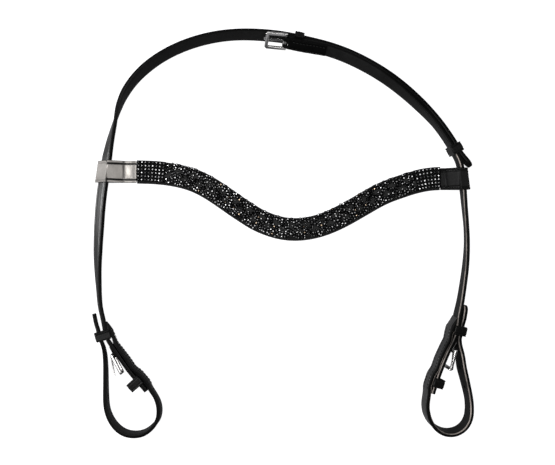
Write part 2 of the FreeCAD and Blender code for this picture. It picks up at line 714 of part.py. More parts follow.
plait_start = band_start + LEFT_COLUMNS * PITCH + 0.4
plait_end = band_end - RIGHT_COLUMNS * PITCH - 0.4
for strand in range(3):
    sections = []
    for at in stations(plait_start, plait_end, 3.0):
        turn = 2 * math.pi * ((at - plait_start) / size("plait_cycle") + strand / 3)
        swing = size("plait_swing") * math.sin(turn)
        low = FACE_TOP + 0.05 + PLAIT_RISE * (1 - math.sin(2 * turn))
        sections.append(flat_section(at, box_corners(STRAND_HALF, low, low + STRAND, swing + RISE)))
    show("crystal_strand_%d" % (strand + 1), Part.makeLoft(sections, True, True))


# ---------------------------------------------------------------- end loops of the browband

tabs = {}                                        # each end's top: middle, slant, and its corners from the browband
TAB_TOP = 2 * size("loop_leather") + 0.6         # two leaves and the filling between them
LOOP_REACH = 9.3                                 # the two leaves meet this far beside the loop


def end_loop(name, route, station, inwards, tab_end):
    """The browband's end: leather round the cheek, both its ends sewn into one flat tab.

    inwards is +1 where the browband lies to the right.
    """
    leather = size("loop_leather")
    middle, along, across, through = route.frame(station)
    up = Vector(across.x, 0, across.z)
    up.normalize()
    side = Vector(up.z, 0, -up.x) * inwards          # through the cheek, towards the browband
    centre = Vector(middle.x, 0, middle.z)
    def ring(high, wide, floor):
        """Corners round the cheek, from the one nearest the browband's top to the lowest."""
        corners = [
            centre + up * high + side * wide,
            centre + up * high - side * wide,
            centre - up * high - side * wide,
            centre - up * high + side * wide,
        ]
        if corners[3].z > corners[2].z:
            corners.pop()
        corners[-1] = Vector(corners[-1].x, 0, floor)
        return corners

    high = WIDTH / 2 + LOOP_EDGE
    wide = THICK / 2 + size("loop_play")
    far = tab_end + inwards * 4
    outer = ring(high + leather, wide + leather, 0.0)
    reach = (high + leather) * abs(up.x) + (wide + leather) * abs(side.x) + LOOP_REACH
    join = centre.x + inwards * reach
    tabs[name] = (middle.y, along.x / along.y, [Vector(tab_end, 0, TAB_TOP), Vector(join, 0, TAB_TOP)] + outer[:2])
    outer += [Vector(far, 0, 0), Vector(far, 0, TAB_TOP), Vector(join, 0, TAB_TOP)]
    room = ring(high, wide, leather)
    room.append(Vector(join - inwards * 1.8, 0, leather))
    face = Part.Face(Part.makePolygon(outer + outer[:1]))
    face = face.cut(Part.Face(Part.makePolygon(room + room[:1])))
    run = along * (size("loop_width") / abs(along.y))
    face.translate(Vector(0, middle.y, 0) - run / 2)
    solid = face.extrude(run)
    spare = Part.makeBox(20, 60, 60, Vector(0, middle.y - 30, -10))
    spare.translate(Vector(tab_end if inwards > 0 else tab_end - 20, 0, 0))
    return show(name, solid.cut(spare))


left_brow_station = left_route.nearest(LEFT, wave(LEFT + 10))
right_brow_station = right_route.nearest(RIGHT, wave(RIGHT - 10))
TAB_GAP = 0.6
end_loop("left_end_loop", left_route, left_brow_station, 1, BAND_START - TAB_GAP)
end_loop("right_end_loop", right_route, right_brow_station, -1, BAND_END + TAB_GAP)


# ---------------------------------------------------------------- stitching

STITCH = size("stitch_length")
THREAD = size("stitch_thickness")
SEAT = 0.15                                      # a stitch lies just on its leather


def stitch(place, along, across, outwards):
    """One stitch: a short straight run of thread, seated on a face that looks outwards."""
    corner = place - along * (STITCH / 2) - across * (THREAD / 2) + outwards * SEAT
    face = Part.Face(Part.makePolygon([
        corner, corner + along * STITCH, corner + along * STITCH + across * THREAD,
        corner + across * THREAD, corner,
    ]))
    return face.extrude(outwards * THREAD)


def seam(route, start, end, rows, surface, outwards):
    """Rows of stitches on a strap; surface is how far the face lies from the strap's middle."""
    stitches = []
    for at in stations(start, end, size("stitch_pitch")):
        middle, along, across, through = route.frame(at)
        for row in rows:
            place = middle + across * row + through * surface
            stitches.append(stitch(place, along, across, through * outwards))
    return stitches


ROWS_OFF = WIDTH / 2 - 2.3                       # seam rows, from the middle of the strap
PAIR = (-ROWS_OFF, ROWS_OFF)
show("crown_seam_stitching", Part.makeCompound(seam(
    right_route, crown_bar_station - 9, crown_bar_station - CROWN_TAIL + 3, PAIR,
    -(LEAF + LEATHER / 2), -1,
)))
for hand, route, reach in (("left", left_bit_route, 76), ("right", right_bit_route, 76)):
    show(hand + "_bit_seam_stitching", Part.makeCompound(
        seam(route, 14.0, reach, PAIR, THICK / 2, 1)))


def edge_seam(points, across):
    """Stitches along a line of straight runs; across is the direction of their width."""
    stitches = []
    pitch = size("stitch_pitch")
    for start, end in zip(points, points[1:]):
        way = end - start
        length = way.Length
        way.normalize()
        outwards = across.cross(way)
        outwards.normalize()
        if outwards.z < 0:
            outwards = outwards * -1
        count = int((length - 1.0) / pitch)
        first = (length - (count - 1) * pitch) / 2
        for index in range(count):
            stitches.append(stitch(start + way * (first + index * pitch), way, across, outwards))
    return stitches


EDGE_IN = 2.6                                    # seams of an end loop, in from its edges
for hand, runs in (("left", 3), ("right", 2)):
    height, slant, corners = tabs[hand + "_end_loop"]
    across = Vector(slant, 1, 0)
    across.normalize()
    stitches = []
    for row in (-1, 1):
        off = row * (size("loop_width") / 2 - EDGE_IN)
        line = [corners[0] + Vector(0, height + off, 0)]
        line += [corner + Vector(off * slant, height + off, 0) for corner in corners[1:runs + 1]]
        stitches += edge_seam(line, across)
    show(hand + "_end_stitching", Part.makeCompound(stitches))


# ---------------------------------------------------------------- check and write

document.recompute()
for item in document.Objects:
    if "Invalid" in item.State or "Error" in item.State:
        raise RuntimeError("%s failed: %s" % (item.Label, item.State))
for name, item in parts.items():
    if item.Shape.isNull() or not item.Shape.isValid() or not item.Shape.Solids:
        raise RuntimeError("%s has no valid solid" % name)

os.makedirs("parts", exist_ok=True)
for name, item in parts.items():
    item.Shape.exportStep("parts/%s.step" % name)
print("wrote", len(parts), "parts")
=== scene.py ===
import json
import math
import random

import bmesh
import bpy
from mathutils import Matrix, Vector, kdtree


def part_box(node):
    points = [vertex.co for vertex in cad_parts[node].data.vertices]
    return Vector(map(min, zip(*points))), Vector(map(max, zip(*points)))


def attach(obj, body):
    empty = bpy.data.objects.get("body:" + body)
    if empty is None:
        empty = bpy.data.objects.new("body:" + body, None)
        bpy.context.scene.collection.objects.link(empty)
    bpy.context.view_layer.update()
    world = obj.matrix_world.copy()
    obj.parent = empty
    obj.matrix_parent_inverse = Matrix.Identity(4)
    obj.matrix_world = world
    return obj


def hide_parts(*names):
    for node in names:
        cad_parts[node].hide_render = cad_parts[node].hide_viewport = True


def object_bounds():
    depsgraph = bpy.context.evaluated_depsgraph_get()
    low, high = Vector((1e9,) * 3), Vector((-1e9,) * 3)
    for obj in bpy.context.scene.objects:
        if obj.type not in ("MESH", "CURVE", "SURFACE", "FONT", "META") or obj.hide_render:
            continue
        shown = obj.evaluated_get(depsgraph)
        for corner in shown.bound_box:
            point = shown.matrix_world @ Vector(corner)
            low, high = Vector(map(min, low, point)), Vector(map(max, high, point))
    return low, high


# Looks of the bridle headpiece: finer straps, padded browband, plaited crystals, metal, floor and light.
# Metres, in the frame of the CAD model: X to the right, Y towards the poll, Z up from the table.

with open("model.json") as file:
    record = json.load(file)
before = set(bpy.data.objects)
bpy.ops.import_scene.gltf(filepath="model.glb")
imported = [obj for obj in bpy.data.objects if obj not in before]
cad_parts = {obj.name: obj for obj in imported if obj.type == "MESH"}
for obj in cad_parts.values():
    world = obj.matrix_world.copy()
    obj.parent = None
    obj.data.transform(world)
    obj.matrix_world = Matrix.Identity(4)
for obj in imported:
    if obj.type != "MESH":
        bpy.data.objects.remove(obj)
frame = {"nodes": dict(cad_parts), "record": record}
CAD_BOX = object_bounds()
MM = 0.001
UP = Vector((0, 0, 1))
chance = random.Random(7)

SLOT = {item["node"]: item["material_slot"] for item in frame["record"]["subparts"]}
BODY = {node: body for body, nodes in frame["record"]["behaviour"]["bodies"].items() for node in nodes}


# ---------------------------------------------------------------- materials

def new_material(name):
    """An empty material: its nodes, its links and its surface shader."""
    material = bpy.data.materials.new(name)
    material.use_nodes = True
    nodes = material.node_tree.nodes
    shader = nodes["Principled BSDF"]
    return material, nodes, material.node_tree.links, shader


def put(nodes, kind, **values):
    """A shader node with its properties and unlinked inputs set."""
    node = nodes.new(kind)
    for key, value in values.items():
        if hasattr(node, key) and key not in node.inputs:
            setattr(node, key, value)
        else:
            node.inputs[key.replace("_", " ")].default_value = value
    return node


def ramp(nodes, *stops):
    """A colour ramp; each stop is a position and a grey or a colour."""
    node = nodes.new("ShaderNodeValToRGB")
    line = node.color_ramp
    while len(line.elements) < len(stops):
        line.elements.new(0.5)
    for element, (place, value) in zip(line.elements, stops):
        colour = (value, value, value) if isinstance(value, (int, float)) else value
        element.position = place
        element.color = (*colour, 1)
    return node


def multiply_add(nodes, links, source, factor, offset):
    node = put(nodes, "ShaderNodeMath", operation="MULTIPLY_ADD")
    node.inputs[1].default_value = factor
    node.inputs[2].default_value = offset
    links.new(source, node.inputs[0])
    return node.outputs[0]


def leather(name, dark, light, rough, grain=900.0, bump=0.25, flesh=False, shine=0.08):
    """Black leather: pores, wrinkles, patchy wax and scuffs. Its colour runs from dark to light."""
    material, nodes, links, shader = new_material(name)
    place = nodes.new("ShaderNodeTexCoord").outputs["Object"]
    pores = put(nodes, "ShaderNodeTexVoronoi", Scale=grain, feature="F1")
    creases = put(nodes, "ShaderNodeTexNoise", Scale=grain * 0.35, Detail=6.0, Roughness=0.6)
    patches = put(nodes, "ShaderNodeTexNoise", Scale=42.0, Detail=4.0, Roughness=0.55)
    scuffs = put(nodes, "ShaderNodeTexNoise", Scale=260.0, Detail=8.0, Roughness=0.7)
    for texture in (pores, creases, patches, scuffs):
        links.new(place, texture.inputs["Vector"])
    tone = ramp(nodes, (0.3, dark), (0.75, light))
    links.new(patches.outputs[0], tone.inputs[0])
    links.new(tone.outputs[0], shader.inputs["Base Color"])
    wax = multiply_add(nodes, links, patches.outputs[0], 0.22, rough - 0.11)
    worn = multiply_add(nodes, links, scuffs.outputs[0], 0.25, -0.12)
    total = put(nodes, "ShaderNodeMath", operation="ADD")
    links.new(wax, total.inputs[0])
    links.new(worn, total.inputs[1])
    links.new(total.outputs[0], shader.inputs["Roughness"])
    height = put(nodes, "ShaderNodeMath", operation="MULTIPLY_ADD")
    links.new(pores.outputs["Distance"], height.inputs[0])
    height.inputs[1].default_value = -0.6 if flesh else 0.5
    links.new(creases.outputs[0], height.inputs[2])
    dents = put(nodes, "ShaderNodeBump", Strength=bump, Distance=0.0003)
    links.new(height.outputs[0], dents.inputs["Height"])
    links.new(dents.outputs[0], shader.inputs["Normal"])
    shader.inputs["Specular IOR Level"].default_value = shine
    return material


def fading(material, low, high, least):
    """Lets a leather's gloss fade along Y: full above high, a part of it below low."""
    nodes, links = material.node_tree.nodes, material.node_tree.links
    shader = nodes["Principled BSDF"]
    shine = shader.inputs["Specular IOR Level"].default_value
    axis = nodes.new("ShaderNodeSeparateXYZ")
    links.new(nodes.new("ShaderNodeTexCoord").outputs["Object"], axis.inputs[0])
    scale = put(nodes, "ShaderNodeMapRange", From_Min=low, From_Max=high, To_Min=least * shine, To_Max=shine)
    links.new(axis.outputs["Y"], scale.inputs["Value"])
    links.new(scale.outputs["Result"], shader.inputs["Specular IOR Level"])
    return material


def metal(name, colour, rough, wear=0.06):
    """Polished metal with faint wear: cloudy patches in its polish and in its tone."""
    material, nodes, links, shader = new_material(name)
    place = nodes.new("ShaderNodeTexCoord").outputs["Object"]
    clouds = put(nodes, "ShaderNodeTexNoise", Scale=120.0, Detail=3.0, Roughness=0.5)
    links.new(place, clouds.inputs["Vector"])
    links.new(multiply_add(nodes, links, clouds.outputs[0], wear, rough - wear / 2), shader.inputs["Roughness"])
    tone = ramp(nodes, (0.35, tuple(0.85 * c for c in colour)), (0.6, colour))
    links.new(clouds.outputs[0], tone.inputs[0])
    links.new(tone.outputs[0], shader.inputs["Base Color"])
    shader.inputs["Metallic"].default_value = 1.0
    return material


def stone_materials():
    """Dark cut crystal: black sides, and a mirror-like table whose tone differs from stone to stone."""
    side = metal("jet_sides", (0.008, 0.008, 0.009), 0.14)
    material, nodes, links, shader = new_material("jet_tables")
    island = nodes.new("ShaderNodeNewGeometry").outputs["Random Per Island"]
    tone = ramp(nodes, (0.0, 0.015), (0.18, 0.07), (0.38, 0.16), (0.62, 0.28), (0.84, 0.42),
                (0.975, (0.34, 0.26, 0.18)), (1.0, (0.20, 0.14, 0.09)))
    tone.color_ramp.interpolation = "CONSTANT"
    links.new(island, tone.inputs[0])
    links.new(tone.outputs[0], shader.inputs["Base Color"])
    shader.inputs["Metallic"].default_value = 0.7
    shader.inputs["Roughness"].default_value = 0.20
    return [side, material]


def thread_material():
    """Waxed black thread, twisted."""
    material, nodes, links, shader = new_material("waxed_thread")
    place = nodes.new("ShaderNodeTexCoord").outputs["Object"]
    twist = put(nodes, "ShaderNodeTexWave", Scale=900.0, Distortion=1.5, Detail=2.0)
    links.new(place, twist.inputs["Vector"])
    tone = ramp(nodes, (0.2, 0.001), (0.9, 0.004))
    links.new(twist.outputs[1], tone.inputs[0])
    links.new(tone.outputs[0], shader.inputs["Base Color"])
    dents = put(nodes, "ShaderNodeBump", Strength=0.5, Distance=0.0002)
    links.new(twist.outputs[1], dents.inputs["Height"])
    links.new(dents.outputs[0], shader.inputs["Normal"])
    shader.inputs["Roughness"].default_value = 0.45
    return material


# ---------------------------------------------------------------- shapes

MERGE = 2e-6
SHARP = math.radians(50)
HAIR = 0.02 * MM
HOLE = 1.7 * MM
HOLE_APART = 6 * MM                              # round edges nearer than this belong to one hole
RIM_LEAST, RIM_MOST = 7, 60                      # vertices round a hole's edge


def welded(node):
    """A bmesh of a CAD node with its loose triangles joined up."""
    mesh = bmesh.new()
    mesh.from_mesh(frame["nodes"][node].data)
    bmesh.ops.remove_doubles(mesh, verts=mesh.verts, dist=MERGE)
    return mesh


def rails(node):
    """The four long edges of a strap's CAD solid: places at each station, in order round its section."""
    mesh = welded(node)
    sharp = {edge for edge in mesh.edges if edge.calc_face_angle(math.pi) > SHARP}
    ends = {vert: [e for e in vert.link_edges if e in sharp] for vert in mesh.verts}
    corners = {vert for vert in mesh.verts if len(ends[vert]) > 2}
    for first in corners:
        ring = [first]
        while True:
            near = [e.other_vert(ring[-1]) for e in ends[ring[-1]]]
            fresh = [v for v in near if v in corners and v not in ring]
            if not fresh:
                break
            ring.append(fresh[0])
        if len(ring) == 4:
            break
    lines = [[vert] for vert in ring]
    steps = [next(e.other_vert(v) for e in ends[v] if e.other_vert(v) not in ring) for v in ring]
    while True:
        before = [line[-1] for line in lines]
        for line, vert in zip(lines, steps):
            line.append(vert)
        if any(vert in corners for vert in steps):
            break
        steps = [next((e.other_vert(v) for e in ends[v] if e.other_vert(v) is not b), None)
                 for v, b in zip(steps, before)]
        if any(vert is None or vert in (line[-1] for line in lines) for vert in steps):
            break
    places = [[vert.co.copy() for vert in line] for line in lines]
    mesh.free()
    if (places[0][0] - places[1][0]).length < (places[1][0] - places[2][0]).length:
        places = places[1:] + places[:1]
    return places


def smoothed(line, parts):
    """Catmull-Rom: more points on a line, through the ones it has."""
    padded = [2 * line[0] - line[1]] + line + [2 * line[-1] - line[-2]]
    result = []
    for a, b, c, d in zip(padded, padded[1:], padded[2:], padded[3:]):
        for part in range(parts):
            t = part / parts
            result.append(0.5 * (2 * b + (c - a) * t + (2 * a - 5 * b + 4 * c - d) * t * t
                                 + (3 * b - a - 3 * c + d) * t ** 3))
    result.append(line[-1])
    return result


def finish_mesh(name, mesh, materials, angle=35):
    """A new object at the origin from a bmesh, smooth but for edges sharper than the angle, in degrees."""
    data = bpy.data.meshes.new(name)
    mesh.to_mesh(data)
    mesh.free()
    piece = bpy.data.objects.new(name, data)
    bpy.context.scene.collection.objects.link(piece)
    for material in materials:
        data.materials.append(material)
    use(piece)
    bpy.ops.object.shade_smooth_by_angle(angle=math.radians(angle))
    return piece


def use(piece):
    """Makes one object the selected and active one."""
    bpy.ops.object.select_all(action="DESELECT")
    piece.select_set(True)
    bpy.context.view_layer.objects.active = piece


def modify(piece, kind, **values):
    """Adds a modifier and applies it."""
    use(piece)
    modifier = piece.modifiers.new(kind.title(), kind)
    for key, value in values.items():
        setattr(modifier, key, value)
    bpy.ops.object.modifier_apply(modifier=modifier.name)


def stand_for(piece, *nodes):
    """The piece rides on the first node's body and is shown in place of the nodes."""
    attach(piece, BODY[nodes[0]])
    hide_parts(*nodes)
    return piece


ROUND = 0.8 * MM                                 # rounded edges of a strap
CREASE_IN = 2.2 * MM                             # the creased line, in from the edge
CREASE_HALF = 0.3 * MM
CREASE_DEEP = 0.16 * MM
# The last slot holds the rounded corners on the flesh side; on the right straps below a set height they take a light
# tan painted highlight.
GRAIN_SIDE, FLESH_SIDE, CUT_SIDE, RIM, FLESH_CORNER = 0, 1, 2, 3, 4   # material slots of a strap


def strap_profile(width, thick):
    """Round a strap's section from its first corner: across, through, and the side that starts there."""
    rim = min(ROUND, 0.35 * thick)
    soft = 0.3 * rim
    side = [(0.0, rim, CUT_SIDE), (0.0, thick - rim, RIM), (soft, thick - soft, RIM), (rim, thick, GRAIN_SIDE)]
    for middle in (CREASE_IN, width - CREASE_IN):
        side += [(middle - CREASE_HALF, thick, GRAIN_SIDE), (middle, thick - CREASE_DEEP, GRAIN_SIDE),
                 (middle + CREASE_HALF, thick, GRAIN_SIDE)]
    half = [(width * part, thick, GRAIN_SIDE) for part in (0.35, 0.5, 0.65)]
    side[7:7] = half
    back = [(width - rim, thick, RIM), (width - soft, thick - soft, RIM), (width, thick - rim, CUT_SIDE),
            (width, rim, FLESH_CORNER), (width - soft, soft, FLESH_CORNER), (width - rim, 0.0, FLESH_SIDE),
            (width * 0.65, 0.0, FLESH_SIDE), (width * 0.35, 0.0, FLESH_SIDE), (rim, 0.0, FLESH_CORNER), (soft, soft, FLESH_CORNER)]
    return side + back


def turned(corners, centre):
    """A strap's four edges in the order that puts its grain side away from the centre of its loop."""
    first, _, _, last = corners
    outwards = sum((d - a).dot((a + d) / 2 - centre) for a, d in zip(first, last))
    return corners if outwards > 0 else corners[::-1]


def strap_skin(name, corners, parts, materials):
    """A strap with rounded, creased edges, through the stations of a CAD strap."""
    lines = [smoothed(line, parts) for line in corners]
    mesh = bmesh.new()
    rings = []
    for a, b, c, d in zip(*lines):
        width, thick = (b - a).length, (d - a).length
        ring = []
        for across, through, _ in strap_profile(width, thick):
            u, v = across / width, through / thick
            ring.append(mesh.verts.new(a.lerp(b, u).lerp(d.lerp(c, u), v)))
        rings.append(ring)
    sides = [side for _, _, side in strap_profile(1.0, 1.0)]
    count = len(rings[0])
    for ring, following in zip(rings, rings[1:]):
        for i in range(count):
            j = (i + 1) % count
            face = mesh.faces.new((ring[i], ring[j], following[j], following[i]))
            face.material_index = sides[i]
    for ring in (rings[0], rings[-1]):
        mesh.faces.new(ring).material_index = CUT_SIDE
    bmesh.ops.recalc_face_normals(mesh, faces=mesh.faces)
    if mesh.calc_volume(signed=True) < 0:
        bmesh.ops.reverse_faces(mesh, faces=mesh.faces)
    return finish_mesh(name, mesh, materials)


def softened(name, node, width, material, segments=2, angle=40):
    """A finer copy of a CAD node, its sharp edges rounded."""
    mesh = welded(node)
    bmesh.ops.dissolve_limit(mesh, angle_limit=math.radians(1), verts=mesh.verts, edges=mesh.edges)
    piece = finish_mesh(name, mesh, [material])
    modify(piece, "BEVEL", width=width, segments=segments, limit_method="ANGLE",
           angle_limit=math.radians(angle), use_clamp_overlap=True)
    use(piece)
    bpy.ops.object.shade_smooth_by_angle(angle=math.radians(35))
    return piece


def punches(node, corners):
    """The punched holes of a strap: a place in each, and the direction through the strap there."""
    mesh = welded(node)
    sharp = {edge for edge in mesh.edges if edge.calc_face_angle(math.pi) > SHARP}
    found, seen = [], set()
    for edge in sharp:
        ring, vert = [edge.verts[0]], edge.verts[1]
        if ring[0] in seen:
            continue
        while vert is not ring[0] and len(ring) < RIM_MOST:
            ahead = [e.other_vert(vert) for e in vert.link_edges if e in sharp and e.other_vert(vert) is not ring[-1]]
            ring.append(vert)
            if len(ahead) != 1:
                break
            vert = ahead[0]
        middle = sum((v.co for v in ring), Vector()) / len(ring)
        if vert is ring[0] and len(ring) > RIM_LEAST:
            seen.update(ring)
            if all((middle - place).length > HOLE_APART for place, _ in found):
                station = min(zip(*corners), key=lambda four: (sum(four, Vector()) / 4 - middle).length)
                found.append((middle, (station[3] - station[0]).normalized()))
    mesh.free()
    return found


# ---------------------------------------------------------------- straps

GRAIN = leather("grain_leather", 0.002, 0.005, 0.36, bump=0.15, shine=0.7)
FLESH = leather("flesh_leather", 0.002, 0.006, 0.55, bump=0.5, flesh=True, shine=0.20)
CUT = leather("edge_leather", 0.001, 0.004, 0.50, bump=0.10, shine=0.06)
DULLED = fading(leather("dulled_leather", 0.002, 0.005, 0.36, bump=0.15, shine=0.5), -0.055, 0.010, 0.10)
EDGE = leather("burnished_rim", 0.002, 0.005, 0.42, bump=0.10, shine=0.10)
# Light tan painted highlight for the flesh-side corners: the sheen of their lit bevel painted into the colour. It
# stays on the right straps below the height that follows.
PAINTED_SHEEN = leather("worn_rim", (0.01, 0.01, 0.01), (0.50, 0.44, 0.40), 0.5, grain=500.0, bump=0.3, shine=0.3)
PAINTED_SHEEN_BELOW = 85 * MM
LINES = {}                                       # a strap's four long edges, at its CAD stations

def stations(node):
    """Along a strap: middle of the section, direction along, direction outwards, half the thickness, way so far."""
    lines = [smoothed(line, 2) for line in LINES[node]]
    rows, way = [], 0.0
    middles = [sum(four, Vector()) / 4 for four in zip(*lines)]
    for i, (middle, a, d) in enumerate(zip(middles, lines[0], lines[3])):
        before, after = middles[max(i - 1, 0)], middles[min(i + 1, len(middles) - 1)]
        way += (middle - before).length
        rows.append((middle, (after - before).normalized(), (d - a).normalized(), (d - a).length / 2, way))
    return rows


def nearest_in(rows):
    """Finds the row of a table of places that is nearest to a given place."""
    tree = kdtree.KDTree(len(rows))
    for i, row in enumerate(rows):
        tree.insert(row[0], i)
    tree.balance()
    return lambda place: rows[tree.find(place)[1]]


def kneaded(name, node, material, voxel, rounds):
    """A soft, finely divided copy of a CAD node."""
    piece = finish_mesh(name, welded(node), [material])
    modify(piece, "REMESH", mode="VOXEL", voxel_size=voxel)
    modify(piece, "SMOOTH", iterations=rounds, factor=0.5)
    use(piece)
    bpy.ops.object.shade_smooth()
    return piece


SKIVE = 9 * MM                                   # the thinned end of a chape
SNUG = 0.12 * MM


def skived(piece, strap, tip):
    """Thins a sewn-on piece towards its tip and lays it against its strap there."""
    nearest = nearest_in(stations(strap))
    end = nearest(tip)
    side = 1 if (tip - end[0]).dot(end[2]) > 0 else -1
    normals = [vert.normal.copy() for vert in piece.data.vertices]
    for vert, normal in zip(piece.data.vertices, normals):
        middle, along, outwards, half, way = nearest(vert.co)
        run = abs(way + (vert.co - middle).dot(along) - end[4])
        above = side * (vert.co - middle).dot(outwards) - half - SNUG
        if run > 2 * SKIVE or above < 0 or (vert.co - tip).length > 2.5 * SKIVE:
            continue
        under = 0.5 - 0.5 * max(-1.0, min(1.0, 2 * side * normal.dot(outwards)))
        keep = (0.35 + 0.65 * min(1.0, run / SKIVE)) * (1.0 - under * min(1.0, 2.0 - run / SKIVE))
        vert.co += outwards * side * above * (keep - 1.0)
    return piece


for node in ("left_strap", "right_strap", "left_bit_strap", "right_bit_strap"):
    low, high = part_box(node)
    centre = (low + high) / 2 if "bit" in node else Vector()
    corners = LINES[node] = turned(rails(node), centre)
    strap = strap_skin(node + "_skin", corners, 3, [DULLED if "left" in node else GRAIN, FLESH, CUT, EDGE, PAINTED_SHEEN])
    # Flesh-side corners keep the painted highlight only on the right straps below that height; the rest take the
    # burnished rim.
    for face in strap.data.polygons:
        if face.material_index == FLESH_CORNER and ("left" in node or face.center.y > PAINTED_SHEEN_BELOW):
            face.material_index = RIM
    for place, through in punches(node, corners):
        bpy.ops.mesh.primitive_cylinder_add(vertices=20, radius=HOLE, depth=14 * MM, location=place,
                                            rotation=UP.rotation_difference(through).to_euler())
        punch = bpy.context.object
        modify(strap, "BOOLEAN", object=punch, operation="DIFFERENCE", solver="MANIFOLD")
        bpy.data.objects.remove(punch)
    if "bit" in node:
        seam = sum(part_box(node.replace("strap", "seam_stitching")), Vector()) / 2
        tips = [sum((line[at] for line in corners), Vector()) / 4 for at in (0, -1)]
        skived(strap, node.replace("_bit", ""), min(tips, key=lambda tip: (tip - seam).length))
    stand_for(strap, node)


INNER = leather("chape_leather", 0.001, 0.003, 0.50, bump=0.3, shine=0.05)
for node, strap, buckle, hide in (("crown_chape", "right_strap", "crown_buckle_frame", INNER),
                                  ("left_bit_chape", "left_strap", "left_bit_buckle_frame", DULLED),
                                  ("right_bit_chape", "right_strap", "right_bit_buckle_frame", GRAIN)):
    piece = kneaded(node + "_skin", node, hide, 0.4 * MM, 2)
    bar = sum(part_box(buckle), Vector()) / 2
    tip = max((vert.co for vert in piece.data.vertices), key=lambda co: (co - bar).length).copy()
    stand_for(skived(piece, strap, tip), node)

KEEPER = leather("keeper_leather", 0.002, 0.006, 0.34, bump=0.15, shine=0.10)
nearest_strap = nearest_in([row for strap in LINES for row in stations(strap)])


def creased(piece):
    """Two grooves round a keeper, beside its edges, and a slightly raised middle."""
    corners = [Vector(corner) for corner in piece.bound_box]
    centre = sum(corners, Vector()) / 8
    along = nearest_strap(centre)[1]
    half = max(abs((vert.co - centre).dot(along)) for vert in piece.data.vertices)
    normals = [vert.normal.copy() for vert in piece.data.vertices]
    for vert, normal in zip(piece.data.vertices, normals):
        place = abs((vert.co - centre).dot(along))
        if (vert.co - centre).dot(normal) > 0 and abs(normal.dot(along)) < 0.5:
            groove = max(0.0, 1.0 - ((place - half + 1.9 * MM) / (0.55 * MM)) ** 2)
            vert.co += normal * (0.12 * MM - 0.42 * MM * groove)
    return piece


for node, slot in SLOT.items():
    if slot == "keeper_leather":
        stand_for(creased(kneaded(node + "_skin", node, KEEPER, 0.35 * MM, 8)), node)


# ---------------------------------------------------------------- browband

def middle_line(node, parts=2):
    """Places along a band's centre-line, with the directions along, across and up there."""
    lines = [smoothed(line, parts) for line in rails(node)]
    places = [sum(four, Vector()) / 4 for four in zip(*lines)]
    result = []
    for i, (place, four) in enumerate(zip(places, zip(*lines))):
        before, after = places[max(i - 1, 0)], places[min(i + 1, len(places) - 1)]
        along = (after - before).normalized()
        across = (four[1] - four[0]).normalized()
        if across.y < 0:
            across.negate()
        up = along.cross(across).normalized()
        result.append((place, along, across, up if up.z > 0 else -up))
    return result


def islands(node):
    """The middle of the foot of each separate stone in a CAD node."""
    mesh = welded(node)
    left, places = set(mesh.verts), []
    while left:
        grown, edge = set(), [left.pop()]
        while edge:
            vert = edge.pop()
            grown.add(vert)
            fresh = [e.other_vert(vert) for e in vert.link_edges if e.other_vert(vert) in left]
            left.difference_update(fresh)
            edge.extend(fresh)
        low = min(v.co.z for v in grown)
        foot = [v.co for v in grown if v.co.z < low + 0.2 * MM]
        places.append(sum(foot, Vector()) / len(foot))
    mesh.free()
    return places


def modelled(build):
    """The mesh of what a function models with operators; the object is removed."""
    bpy.ops.object.select_all(action="DESELECT")
    build()
    piece = bpy.context.object
    bpy.ops.object.transform_apply(location=True, rotation=True, scale=True)
    data = piece.data.copy()
    bpy.data.objects.remove(piece)
    return data


STONE = 1.42 * MM
STONE_FACETS = 8


def build_stone():
    """A cut stone: a girdle, a ring of crown facets in two rows, and a flat table."""
    bpy.ops.mesh.primitive_cone_add(vertices=STONE_FACETS, radius1=STONE, radius2=0.86 * STONE, depth=0.36 * MM,
                                    location=(0, 0, 0.72 * MM))
    piece = bpy.context.object
    bpy.ops.object.mode_set(mode="EDIT")
    bpy.ops.mesh.select_mode(type="FACE")
    bpy.ops.mesh.select_all(action="DESELECT")
    table = bmesh.from_edit_mesh(piece.data)
    max(table.faces, key=lambda face: face.calc_center_median().z).select_set(True)
    bmesh.update_edit_mesh(piece.data)
    bpy.ops.mesh.inset(thickness=0.40 * STONE, depth=0.42 * MM)
    bpy.ops.transform.rotate(value=math.pi / STONE_FACETS, orient_axis="Z", center_override=(0, 0, 0))
    bpy.ops.object.mode_set(mode="OBJECT")


def build_cup():
    """The cup that holds a stone: a short flared wall and four bent claws."""
    bpy.ops.mesh.primitive_cone_add(vertices=STONE_FACETS, radius1=0.72 * STONE, radius2=1.02 * STONE, depth=0.6 * MM,
                                    location=(0, 0, 0.3 * MM))
    piece = bpy.context.object
    bpy.ops.object.mode_set(mode="EDIT")
    bpy.ops.mesh.select_mode(type="FACE")
    bpy.ops.mesh.select_all(action="DESELECT")
    wall = bmesh.from_edit_mesh(piece.data)
    wall.faces.ensure_lookup_table()
    for face in [f for f in wall.faces if abs(f.normal.z) < 0.9][::2]:
        face.select_set(True)
    bmesh.update_edit_mesh(piece.data)
    bpy.ops.mesh.inset(thickness=0.16 * MM, use_individual=True)
    bpy.ops.mesh.extrude_region_shrink_fatten(TRANSFORM_OT_shrink_fatten={"value": 0.10 * MM})
    bpy.ops.transform.translate(value=(0, 0, 0.42 * MM))
    bpy.ops.object.mode_set(mode="OBJECT")


def scattered(name, data, matrices, materials):
    """One mesh of many copies, one for each matrix; level faces on top take the second material."""
    high = max(vert.co.z for vert in data.vertices)
    for face in data.polygons:
        face.material_index = 1 if len(materials) > 1 and face.center.z > high - HAIR else 0
    mesh = bmesh.new()
    for matrix in matrices:
        copy = data.copy()
        copy.transform(matrix)
        mesh.from_mesh(copy)
        bpy.data.meshes.remove(copy)
    return finish_mesh(name, mesh, materials, angle=5)


